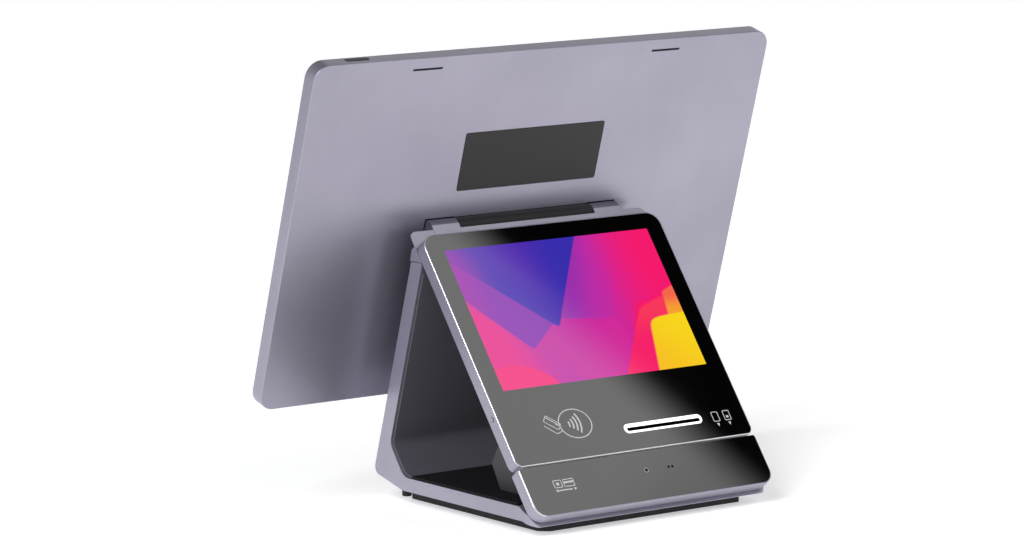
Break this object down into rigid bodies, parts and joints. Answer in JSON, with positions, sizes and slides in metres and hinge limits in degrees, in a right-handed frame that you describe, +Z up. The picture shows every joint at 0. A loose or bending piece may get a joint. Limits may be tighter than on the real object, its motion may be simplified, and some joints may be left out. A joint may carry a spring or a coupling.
{
  "type": "pos touchscreen terminal",
  "caption": "Two-sided point-of-sale terminal: merchant touch display hinged on an A-shaped metal stand with a customer screen, card reader and swipe bar.",
  "frame": {"origin": "centre of the base pad's underside, on the counter", "axes": "+Z up, -Y towards the customer, +Y towards the merchant, +X to the customer's right"},
  "size_m": [0.3356, 0.173, 0.2699],
  "materials": {
    "housing_metal": "fine satin, lavender grey",
    "cover_glass": "gloss black",
    "dark_plastic": "matt charcoal",
    "foot_rubber": "matt black",
    "steel": "plain steel",
    "screen_panel": "lit screen panel",
    "circuit_board": "solder mask",
    "light_guide": "lit white",
    "copper": "bare copper",
    "bearing_bronze": "bare bronze"
  },
  "bodies": {
    "stand": {"stand_frame": "housing_metal", "stand_head": "housing_metal", "head_screw_left": "steel", "head_screw_right": "steel", "friction_sleeve_left": "bearing_bronze", "friction_sleeve_right": "bearing_bronze", "inner_cover": "dark_plastic", "reader_block": "dark_plastic", "base_pad": "foot_rubber", "ballast_plate": "steel", "base_screw_front_left": "steel", "base_screw_front_right": "steel", "base_screw_rear_left": "steel", "base_screw_rear_right": "steel", "rear_foot_left": "foot_rubber", "rear_foot_right": "foot_rubber", "unit_frame": "housing_metal", "unit_glass": "cover_glass", "unit_lcd": "screen_panel", "unit_board": "circuit_board", "contactless_antenna": "copper", "card_reader": "dark_plastic", "card_slot_ring": "light_guide", "key_switch": "dark_plastic", "bar_frame": "housing_metal", "bar_glass": "cover_glass", "bar_camera": "dark_plastic", "bar_board": "circuit_board", "head_spring": "steel"},
    "display": {"display_back_cover": "housing_metal", "display_glass": "cover_glass", "display_lcd": "screen_panel", "display_midframe": "dark_plastic", "power_switch": "dark_plastic", "mainboard": "circuit_board", "heat_spreader": "copper", "speaker_left": "dark_plastic", "speaker_right": "dark_plastic", "vent_mesh_left": "dark_plastic", "vent_mesh_right": "dark_plastic", "label_plate": "dark_plastic", "power_inlet": "steel", "accessory_port_1": "steel", "accessory_port_2": "steel", "port_board": "circuit_board", "hinge_bracket": "steel", "hinge_shaft_left": "steel", "hinge_shaft_right": "steel", "hinge_barrel_cover": "dark_plastic", "bracket_screw_low_left": "steel", "bracket_screw_low_right": "steel", "bracket_screw_high_left": "steel", "bracket_screw_high_right": "steel"},
    "power_button": {"power_button": "dark_plastic"},
    "side_key": {"side_key": "housing_metal"},
    "magnetic_head": {"magnetic_head": "steel"}
  },
  "joints": [
    {"name": "display_tilt", "type": "hinge", "parent": "stand", "child": "display", "pos_m": [0, 0.05114, 0.16169], "axis": [1, 0, 0], "range_deg": [-5, 55]},
    {"name": "power_press", "type": "slide", "parent": "display", "child": "power_button", "axis": [0, 0.2907, -0.9568], "range_m": [0, 0.0005], "stiffness_N_per_m": 1500, "springref_m": -0.0003},
    {"name": "side_key_press", "type": "slide", "parent": "stand", "child": "side_key", "axis": [1, 0, 0], "range_m": [0, 0.0004], "stiffness_N_per_m": 1500, "springref_m": -0.0003},
    {"name": "magnetic_head_float", "type": "slide", "parent": "stand", "child": "magnetic_head", "axis": [0, -0.6025, -0.7981], "range_m": [0, 0.0005], "stiffness_N_per_m": 1200, "springref_m": -0.0005}
  ]
}
